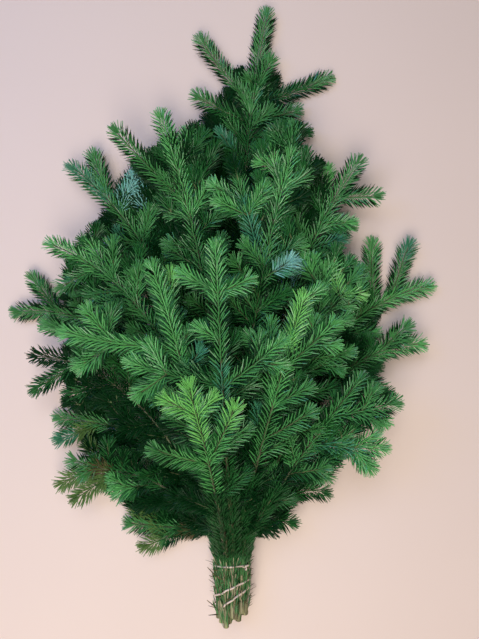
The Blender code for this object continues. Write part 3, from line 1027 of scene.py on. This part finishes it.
def light_scores(parts, shoots):
    """How light each part is by its place, as the mean of its middle and its end.

    It is the most, less 0.22 for each point of a shoot close above it as painted shade, less up to 0.95
    near the tie for older needles and painted shade, and changed in the light and dark spots.
    """
    above = np.vstack([shoot.points[::3] for shoot in shoots])
    covered = np.zeros(len(parts))
    near = np.zeros(len(parts))
    change = np.zeros(len(parts))
    looks = len(LOOKED_AT)
    for share in LOOKED_AT:
        spots = np.array([part.points[int(share * (len(part.points) - 1))] for part, _ in parts])
        close = plan_distances(spots, above) < OVER_REACH
        over = close & (above[None, :, 2] > spots[:, None, 2] + OVER_RISE)
        covered += np.minimum(over.sum(axis=1), MOST_OVER) / looks
        near += np.hypot(*(spots[:, :2] - TIE).T) / looks
        for x, y, reach, gain in LIGHT_SPOTS:
            inside_spot = np.hypot(spots[:, 0] - x * MM, spots[:, 1] - y * MM) < reach * MM
            change += gain / looks * inside_spot
    # Darker near the tie: partly older needles, partly painted shade
    shade = LIGHT_NEAR_TIE * (1.0 - smooth_step((near - NEAR_START) / NEAR_REACH))
    return LIGHT_MOST - LIGHT_COVERED * covered - shade + change


def year_parts(shoot):
    """A shoot as its years' growths, the youngest first: a side shoot has a short young end."""
    length = shoot.gone[-1]
    if shoot.kind == "axis":
        cuts = list(np.arange(length, LEAST_YEAR, -YEAR_GROWTH))
    elif length > LEAST_YOUNG_ENDS * YOUNG_END:
        cuts = [length, length - YOUNG_END]
    else:
        cuts = [length]
    parts = []
    for age, (end, start) in enumerate(zip(cuts, cuts[1:] + [0.0])):
        gone = np.linspace(start, end, max(int((end - start) / PART_STEP), 3))
        points = read_path(gone, shoot.gone, shoot.points)
        part = shoot._replace(points=points, gone=gone - start, starts=start == 0.0, ends=age == 0)
        parts.append((part, age))
    return parts


# Settings

def length_setting(name, description, default):
    """A length among the settings."""
    return FloatProperty(name=name, description=description, default=default, unit="LENGTH")


def colour_setting(name, description, default):
    """A colour among the settings."""
    return FloatVectorProperty(name=name, description=description, default=default, subtype="COLOR")


class BunchGrowth(bpy.types.PropertyGroup):
    """Settings of the branching rule"""
    seed: IntProperty(name="Seed", description="Seed of the branching rule", default=7)
    lowest: length_setting("Lowest Twig", "Least height of a twig's middle", 4 * MM)
    tip_reach: length_setting("Tip Reach", "How far the last needles pass the twig's end", 8 * MM)
    side_tilt: FloatProperty(name="Side Tilt", description="Usual tilt of side shoots, degrees",
                             default=7.0)
    small_tilt: FloatProperty(name="Small Tilt", description="Usual tilt of small shoots, degrees",
                              default=18.0)
    twig_least: length_setting("Least With Twigs", "Longer side shoots have side twigs", 50 * MM)
    cover_step: length_setting("Cover Step", "Spacing of the places looked at in the crown", 7 * MM)
    least_over: FloatProperty(name="Least Shoots Over", default=2.0,
                              description="Places under fewer shoots get one more")
    most_cover: IntProperty(name="Most Cover Shoots", default=470,
                            description="Most shoots that close the crown")
    room: length_setting("Outline Room", "How far random twigs may pass the outline", 9 * MM)
    ageing: FloatProperty(name="Ageing", default=0.12,
                          description="How much darker needles are a year further down")
    brush_share: FloatProperty(name="Brush Share", description="Share of shoots with needles all round",
                               default=0.6)
    first_small: length_setting("First Small Shoot", "Distance above the tie", 55 * MM)
    small_step: length_setting("Small Shoot Spacing", "Usual distance between small shoots", 23 * MM)
    small_least: length_setting("Least Small Shoot", "Length of the shortest small shoots", 34 * MM)
    small_most: length_setting("Longest Small Shoot", "Length of the longest small shoots", 66 * MM)


class BunchNeedles(bpy.types.PropertyGroup):
    """Sizes and number of the needles"""
    length: length_setting("Length", "Length of a full needle", 20.5 * MM)
    width: length_setting("Width", "Width of a needle", 1.9 * MM)
    thickness: length_setting("Thickness", "Height of the ridge", 0.5 * MM)
    foot: length_setting("Foot", "Distance of a needle's foot from the twig's middle", 0.8 * MM)
    density: FloatProperty(name="Needles per Metre", description="Needles on a metre of shoot",
                           default=1740.0)
    tip_tuft: IntProperty(name="Tip Tuft", description="Extra needles round the end bud", default=20)


class BunchColours(bpy.types.PropertyGroup):
    """Colours of the pieces"""
    bright: colour_setting("Bright", "Young needles in the light", (0.165, 0.49, 0.10))
    fresh: colour_setting("Fresh", "Last year's needles", (0.092, 0.355, 0.085))
    green: colour_setting("Green", "Older needles", (0.055, 0.23, 0.056))
    # Deep and Shade also colour the sprays under others and the lower needles of lighter sprays, so they
    # hold painted shade as well as older needles
    deep: colour_setting("Deep", "Old needles", (0.019, 0.115, 0.024))
    shade: colour_setting("Shade", "Oldest needles", (0.003, 0.03, 0.006))
    blue: colour_setting("Blue", "Blue-green needles", (0.05, 0.23, 0.11))
    # Pale: the tint of the sprays at the pale spots
    pale: colour_setting("Pale", "Pale undersides", (0.20, 0.46, 0.38))
    olive: colour_setting("Olive", "Olive needles", (0.105, 0.19, 0.045))
    brown: colour_setting("Brown", "Dry needles", (0.10, 0.075, 0.032))
    bark_young: colour_setting("Young Bark", "Bark of the stems, light", (0.30, 0.29, 0.13))
    bark_old: colour_setting("Old Bark", "Bark of the stems, dark", (0.075, 0.052, 0.03))
    twig: colour_setting("Twig", "Bark of young twigs", (0.11, 0.14, 0.045))
    neck: colour_setting("Neck", "Needles above the tie", (0.012, 0.075, 0.016))
    handle: colour_setting("Handle", "Needles pressed on the handle", (0.06, 0.17, 0.05))
    straw: colour_setting("Straw", "Dry needles on the handle", (0.34, 0.28, 0.17))
    wood: colour_setting("Cut Wood", "Cut faces of the stems", (0.62, 0.48, 0.28))
    band: colour_setting("Band", "Elastic band", (0.62, 0.47, 0.38))
    floor: colour_setting("Floor", "Surface under the bunch", (0.695, 0.54, 0.465))


class BunchBand(bpy.types.PropertyGroup):
    """Sizes of the band"""
    radius: length_setting("Radius", "Half the band's thickness", 1.3 * MM)
    first: FloatProperty(name="First Turn", description="Where the wound turns start", default=-0.5)
    last: FloatProperty(name="Last Turn", description="Where the wound turns end", default=1.37)
    pitch: length_setting("Pitch", "Distance between the wound turns", 17 * MM)
    tilt: FloatProperty(name="Tilt", description="Slope of the wound turns across the handle",
                        default=0.28)
    twist: FloatProperty(name="Twist", description="How much steeper each further turn is",
                         default=0.22)


class BunchStage(bpy.types.PropertyGroup):
    """Camera and lights"""
    height: length_setting("Camera Height", "Height of the camera above the floor", 0.8)
    across: length_setting("Camera Across", "Camera right of the tie", 11 * MM)
    beyond: length_setting("Camera Beyond", "Camera beyond the tie", 352.3 * MM)
    lens: FloatProperty(name="Lens", description="Focal length in millimetres", default=30.0)
    key: FloatProperty(name="Key Light", description="Power of the main soft light, watts",
                       default=37.5)
    overhead: FloatProperty(name="Overhead Light", description="Power of the overhead light, watts",
                            default=18.0)
    window: FloatProperty(name="Window Light", default=9.0,
                          description="Power of the bluish light from the left, watts")
    sky: FloatProperty(name="Sky", description="Strength of the surrounding light", default=0.07)


# Stems and twigs

class FIR_OT_stems(bpy.types.Operator):
    """Make the stems, with the bark's relief, in place of the frame's stems"""
    bl_idname = "fir.stems"
    bl_label = "Stems"

    def execute(self, context):
        colours = context.scene.fir_colours
        bark = bark_material("stem bark", colours.bark_young, colours.bark_old,
                             scale=420.0, depth=0.5 * MM)
        for index, bough in enumerate(BOUGHS):
            shape = stem_skin(index, *stem_line(index, bough))
            make_piece("bark_" + bough[0], shape, bark, ["stem_" + bough[0]])
        return {"FINISHED"}


def stem_skin(index, spots, line, radii):
    """A stem with its relief: long ribs, a slow swelling and leaf cushions in spiral rows.

    relief = 0.05 sin(5a + 60 s) + 0.04 sin(s / 9 mm) + 0.09 max(0, cos(4a + s / 1.6 mm))^3 cos(s / 2 mm)^2
    with a the angle round the stem and s the distance along it.
    """
    angle = np.linspace(0.0, 2 * math.pi, STEM_SIDES, endpoint=False)[None]
    run = spots[:, None] + index * STEM_PHASE
    relief = RIBS * np.sin(RIB_COUNT * angle + RIB_TWIST * run)
    relief = relief + SWELLING * np.sin(run / SWELLING_LENGTH)
    row = np.clip(np.cos(CUSHION_COUNT * angle + run / CUSHION_RISE), 0, 1) ** 3
    relief = relief + CUSHIONS * row * np.cos(run / CUSHION_LENGTH) ** 2
    return capped_tube(line, radii * BARK_RADIUS, STEM_SIDES, relief=relief)


class FIR_OT_cut_ends(bpy.types.Operator):
    """Make the pale cut faces at the ends of the stems"""
    bl_idname = "fir.cut_ends"
    bl_label = "Cut Ends"

    def execute(self, context):
        pale = context.scene.fir_colours.wood
        wood = bark_material("cut wood", pale, [WOOD_DARKER * c for c in pale],
                             scale=900.0, depth=0.1 * MM)
        parts = []
        for index, bough in enumerate(BOUGHS):
            _, line, radii = stem_line(index, bough)
            path = line[0] - ALONG_HANDLE * CUT_STEPS[:, None]
            parts.append(capped_tube(path, radii[0] * CUT_RADII, STEM_SIDES))
        make_piece("cut_wood", join(parts), wood, nodes_named("stem_"))
        return {"FINISHED"}


class FIR_OT_twigs(bpy.types.Operator):
    """Make the twigs with their end buds, in place of the frame's masses"""
    bl_idname = "fir.twigs"
    bl_label = "Twigs"

    def execute(self, context):
        colours = context.scene.fir_colours
        dark = {"twigs_young": [TWIG_DARKER * c for c in colours.twig], "twigs_old": colours.bark_old}
        tubes = {name: [] for name in dark}
        for shoot in grow_bunch(context.scene.fir_growth):
            if shoot.kind == "axis":
                tubes["twigs_old"].append(twig_tube(shoot, AXIS_FOOT))
            else:
                tubes["twigs_young"].append(twig_tube(shoot, TWIG_FOOT))
        for name, parts in tubes.items():
            bark = bark_material(name, colours.twig, dark[name], scale=700.0, depth=0.2 * MM)
            make_piece(name, join(parts), bark, nodes_named("foliage_"))
        return {"FINISHED"}


def twig_tube(shoot, foot):
    """A twig, tapering evenly from its foot's radius, that ends in an egg-shaped bud."""
    length = shoot.gone[-1]
    gone = np.linspace(0.0, length, max(int(length / TWIG_STEP), 3))
    points = read_path(gone, shoot.gone, shoot.points)
    ahead = unit(points[-1] - points[-2])
    points = np.vstack([points, points[-1] + ahead * BUD_AT[:, None]])
    radii = np.concatenate([np.interp(gone, [0.0, length], [foot, TWIG_END]), BUD_RADII])
    return capped_tube(points, radii, TWIG_SIDES)


class FIR_OT_needles(bpy.types.Operator):
    """Make the needles of all the sprays, one or more pieces for each tint"""
    bl_idname = "fir.needles"
    bl_label = "Needles"

    def execute(self, context):
        scene = context.scene
        settings, colours = scene.fir_needles, scene.fir_colours
        dealt = {tint: [] for tint in GLOSS}
        rng = np.random.default_rng(scene.fir_growth.seed)
        shoots = grow_bunch(scene.fir_growth)
        parts = [part for shoot in shoots for part in year_parts(shoot)]
        scores = light_scores(parts, shoots)
        for (part, age), light in zip(parts, scores):
            years = min(age, len(AGE_SHADE) - 1)
            # The score adds the painted light and shade of the part's place to its tone and its age
            score = part.tone + light - AGE_SHADE[years] + rng.normal(0.0, SCORE_SPREAD)
            tint = spray_tint(part, score, rng)
            fields = needles_of(part, settings, rng, settings.density * (1.0 - AGE_THINNING * years))
            low = fields[-1] < UNDER_LIFT
            dealt[tint].append([field[~low] for field in fields])
            dealt[UNDER[tint]].append([field[low] for field in fields])
        for tint, sprays in dealt.items():
            if sprays:
                self.make_tint(tint, sprays, settings, getattr(colours, tint))
        return {"FINISHED"}

    def make_tint(self, tint, sprays, settings, colour):
        """The pieces of one tint, each under the most needles that a piece may hold."""
        fields = [np.concatenate(field) for field in zip(*sprays)]
        count = len(fields[0])
        pieces = -(-count // MOST_NEEDLES)
        material = needle_material(tint, colour, GLOSS[tint])
        for number, share in enumerate(np.array_split(np.arange(count), pieces), start=1):
            name = f"needles_{tint}" + (f"_{number}" if pieces > 1 else "")
            needle_piece(name, [field[share] for field in fields], settings, material)


# Needles on the stems

class FIR_OT_stem_needles(bpy.types.Operator):
    """Make the needles along the stems: fanned above the tie, pressed and stray ones on the handle"""
    bl_idname = "fir.stem_needles"
    bl_label = "Stem Needles"

    def execute(self, context):
        scene = context.scene
        settings, colours = scene.fir_needles, scene.fir_colours
        rng = np.random.default_rng(scene.fir_growth.seed + STEM_NEEDLE_SEED)
        tints = {"neck": colours.neck, "green": colours.handle, "olive": colours.neck,
                 "straw": colours.straw, "brown": colours.brown}
        sprays = {name: [] for name in tints}
        for index, bough in enumerate(BOUGHS):
            sprays["neck"].append(neck_needles(index, bough, settings, rng))
            fields = pressed_needles(index, bough, settings, rng)
            chance = rng.random(len(fields[0]))
            green, straw = chance < GREEN_BELOW, chance >= OLIVE_BELOW
            for name, kept in (("green", green), ("olive", ~green & ~straw), ("straw", straw)):
                sprays[name].append([field[kept] for field in fields])
            sprays["brown"].append(stray_needles(index, bough, settings, rng))
        for tint, colour in tints.items():
            name = "stem_needles_" + tint
            fields = [np.concatenate(field) for field in zip(*sprays[tint])]
            needle_piece(name, fields, settings, needle_material(name, colour, STEM_GLOSS))
        return {"FINISHED"}


def closest(places, line):
    """Nearest point of a line to each place, by its +Y."""
    line = line[np.argsort(line[:, 1])]
    return read_path(places[:, 1], line[:, 1], line)


def along_stem(index, bough, part, habit, density, settings, rng):
    """Needles of one habit on the part of a stem between two places, and the way out at each."""
    spots, line, _ = stem_line(index, bough)
    first, last = part
    keep = (spots > first) & (spots < last)
    line, spots = line[keep], spots[keep]
    shoot = Shoot(index, "stem", line, spots - spots[0], UPWARDS, 0.0, habit, False, False)
    fields = needles_of(shoot, settings, rng, density)
    return fields, unit(fields[0] - closest(fields[0], line))


def neck_needles(index, bough, settings, rng):
    """Needles fanned up and out along a stem, from the tie to where its foliage starts."""
    part = (NECK_FIRST, math.inf)
    (feet, *fields, lift), outward = along_stem(index, bough, part, "neck", NECK_DENSITY, settings, rng)
    away = np.mean(stem_line(index, bough)[2]) - NECK_SINK
    return *clear_of_ground(feet + outward * away, *fields), lift


def pressed_needles(index, bough, settings, rng):
    """Needles pressed up along a stem in the handle, fewer and fewer towards its cut end."""
    part = (-math.inf, PRESSED_LAST)
    fields, outward = along_stem(index, bough, part, "pressed", PRESSED_DENSITY, settings, rng)
    feet, direction, bend, facing, size, lift = fields
    away = stem_line(index, bough)[2][0] - PRESSED_SINK
    fields = clear_of_ground(feet + outward * away, direction, bend * PRESSED_BEND, facing,
                             PRESSED_SIZE * size)
    full = smooth_step((feet[:, 1] - TIE_Y + PRESSED_START) / PRESSED_REACH)
    kept = rng.random(len(feet)) < PRESSED_LEAST + (1.0 - PRESSED_LEAST) * full
    return [field[kept] for field in (*fields, lift)]


def stray_needles(index, bough, settings, rng):
    """A few dry needles and stubs that stand out from a stem in the handle, away from its middle."""
    spots, line, radii = stem_line(index, bough)
    place = read_path(rng.uniform(*STRAY_PLACES, STRAY_COUNT), spots, line)
    above = row_height(bough[1]) - row_height(MIDDLE_LAYER)
    turn = math.atan2(above, bough[2] * STEM_PITCH) + rng.normal(0.0, STRAY_TURN_SPREAD, STRAY_COUNT)
    outward = np.stack([np.cos(turn), np.zeros(STRAY_COUNT), np.sin(turn)], axis=1)
    spread = rng.normal(0.0, STRAY_LEAN_SPREAD, outward.shape)
    direction = unit(outward + ALONG_HANDLE * STRAY_LEAN + spread)
    size = settings.length * rng.uniform(*STRAY_SIZES, STRAY_COUNT)
    bend = rng.normal(0.0, STRAY_BEND_SPREAD, outward.shape)
    facing = rng.normal(0.0, 1.0, outward.shape)
    feet = place + outward * radii[0] * STRAY_FOOT
    return *clear_of_ground(feet, direction, bend, facing, size), np.ones(STRAY_COUNT)


# Band

class FIR_OT_band(bpy.types.Operator):
    """Make the loop and the wound band, in place of the frame's binding"""
    bl_idname = "fir.band"
    bl_label = "Band"

    def execute(self, context):
        band = context.scene.fir_band
        finish = band_material(context.scene.fir_colours.band)
        make_piece("band_loop", loop_band(band), finish, ["binding_loop"])
        make_piece("band_wrap", wound_band(band), finish, ["binding_wrap"])
        make_piece("band_knot", knot_band(band), finish, ["binding_loop"])
        return {"FINISHED"}


def round_stems(turns, away):
    """Distances right of the tie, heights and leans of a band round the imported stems.

    The band keeps clear of whichever stem lies furthest out, and leans up the handle to its top.
    """
    outward = np.stack([np.cos(turns), np.sin(turns)], axis=1)
    centres = np.array([(b[2] * STEM_PITCH, row_height(b[1])) for b in BOUGHS])
    furthest = centres[np.argmax(outward @ centres.T, axis=1)]
    across, height = (furthest + outward * away).T
    return across, height, BAND_LEAN * (height - centres[:, 1].max() - away)


def loop_band(band, count=160):
    """The closed loop: a round band round the stems, a little wavy along them.

    Its place along the handle is a wave of two rounds, and its radius one of five.
    """
    turns = np.linspace(0.0, 2 * math.pi, count, endpoint=False)
    across, height, lean = round_stems(turns, STEM_RADIUS + band.radius)
    y = TIE_Y + LOOP_RISE + lean + LOOP_WAVE * np.sin(2 * turns + LOOP_WAVE_PHASE)
    line = np.column_stack([TIE_X + across, y, height])
    line = np.vstack([line, line[:1]])
    swelling = LOOP_SWELLING * np.sin(5 * np.linspace(0, 2 * math.pi, count + 1))
    return capped_tube(line, band.radius * (1.0 + swelling), BAND_SIDES, reference=ALONG_HANDLE)


def wound_band(band, count=320):
    """The wound part: the same round line, carried down the handle and tilted up to the right.

    It starts beside the loop on the left and runs down behind the stems before its first turn.
    Each further turn is steeper.
    """
    turn = np.linspace(band.first, band.last, count)
    across, height, lean = round_stems(2 * math.pi * turn, STEM_RADIUS + band.radius)
    y = TIE_Y + WRAP_START - band.pitch * turn + lean + (band.tilt + band.twist * turn) * across
    y = y + WRAP_LINK * smooth_step(turn / band.first)
    line = np.column_stack([TIE_X + across, y, height])
    return capped_tube(line, np.full(count, band.radius), BAND_SIDES, reference=ALONG_HANDLE)


def knot_band(band, count=90):
    """The small twist where the band crosses itself, at the loop's right end.

    A trefoil curve: x = sin t + 1.2 sin 2t, y = 0.8 (cos t - 1.2 cos 2t), z = -0.8 sin 3t.
    """
    turn = np.linspace(0.0, 2 * math.pi, count)
    x = TIE_X + KNOT_ACROSS + KNOT_SIZE * (np.sin(turn) + KNOT_LOBES * np.sin(2 * turn))
    y = TIE_Y + KNOT_SIZE * KNOT_FLATTER * (np.cos(turn) - KNOT_LOBES * np.cos(2 * turn))
    z = KNOT_HEIGHT - KNOT_SIZE * KNOT_FLATTER * np.sin(3 * turn)
    radii = np.full(count, band.radius * KNOT_THINNER)
    return capped_tube(np.column_stack([x, y, z]), radii, KNOT_SIDES, reference=(0.3, 0.2, 0.9))


# Stage

class FIR_OT_stage(bpy.types.Operator):
    """Make the floor, the soft lights and the camera"""
    bl_idname = "fir.stage"
    bl_label = "Stage"

    def execute(self, context):
        stage, scene = context.scene.fir_stage, context.scene
        mesh = bpy.data.meshes.new("floor")
        corners = [(x * FLOOR_HALF, y * FLOOR_HALF, 0) for x, y in ((-1, -1), (1, -1), (1, 1), (-1, 1))]
        mesh.from_pydata(corners, [], [(0, 1, 2, 3)])
        mesh.materials.append(floor_material(scene.fir_colours.floor))
        floor = bpy.data.objects.new("floor", mesh)
        scene.collection.objects.link(floor)
        for name, place, size, colour in LIGHTS:
            soft_light(name, place, size, getattr(stage, name), colour)
        world = bpy.data.worlds.new("studio")
        world.use_nodes = True
        background = world.node_tree.nodes["Background"]
        background.inputs["Color"].default_value = SKY_COLOUR
        background.inputs["Strength"].default_value = stage.sky
        scene.world = world
        scene.view_settings.view_transform = "Standard"
        camera = bpy.data.objects.new("camera", bpy.data.cameras.new("camera"))
        camera.data.lens = stage.lens
        camera.location = (TIE_X + stage.across, TIE_Y + stage.beyond, stage.height)
        scene.collection.objects.link(camera)
        scene.camera = camera
        return {"FINISHED"}


def soft_light(name, place, size, power, colour):
    """A square area light that looks at the middle of the bunch."""
    light = bpy.data.lights.new(name, "AREA")
    light.size = size
    light.energy = power
    light.color = colour
    lamp = bpy.data.objects.new(name, light)
    lamp.location = place
    aim = -lamp.location
    lamp.rotation_euler = aim.to_track_quat("-Z", "Y").to_euler()
    bpy.context.scene.collection.objects.link(lamp)


class FIR_PT_bunch(bpy.types.Panel):
    """Fir bunch: its pieces and their settings"""
    bl_idname = "FIR_PT_bunch"
    bl_label = "Fir Bunch"
    bl_space_type = "VIEW_3D"
    bl_region_type = "UI"
    bl_category = "Fir Bunch"

    def draw(self, context):
        for piece in PIECES:
            self.layout.operator(piece.bl_idname)
        for label, group in SETTINGS:
            box = self.layout.box()
            box.label(text=group.__name__)
            settings = getattr(context.scene, label)
            for field in group.__annotations__:
                box.prop(settings, field)


SETTINGS = (("fir_growth", BunchGrowth), ("fir_needles", BunchNeedles), ("fir_colours", BunchColours),
            ("fir_band", BunchBand), ("fir_stage", BunchStage))
PIECES = (FIR_OT_stage, FIR_OT_stems, FIR_OT_cut_ends, FIR_OT_twigs, FIR_OT_needles,
          FIR_OT_stem_needles, FIR_OT_band)


def register():
    """Register the settings, the operators and the panel."""
    for _, group in SETTINGS:
        bpy.utils.register_class(group)
    for piece in PIECES:
        bpy.utils.register_class(piece)
    bpy.utils.register_class(FIR_PT_bunch)
    for label, group in SETTINGS:
        setattr(bpy.types.Scene, label, PointerProperty(type=group))


def unregister():
    """Take them away again, in the opposite order."""
    for label, _ in SETTINGS:
        delattr(bpy.types.Scene, label)
    bpy.utils.unregister_class(FIR_PT_bunch)
    for piece in reversed(PIECES):
        bpy.utils.unregister_class(piece)
    for _, group in reversed(SETTINGS):
        bpy.utils.unregister_class(group)


def main():
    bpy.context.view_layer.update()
    register()
    bpy.ops.fir.stage()
    bpy.ops.fir.stems()
    bpy.ops.fir.cut_ends()
    bpy.ops.fir.twigs()
    bpy.ops.fir.needles()
    bpy.ops.fir.stem_needles()
    bpy.ops.fir.band()


if __name__ == "__main__":
    main()
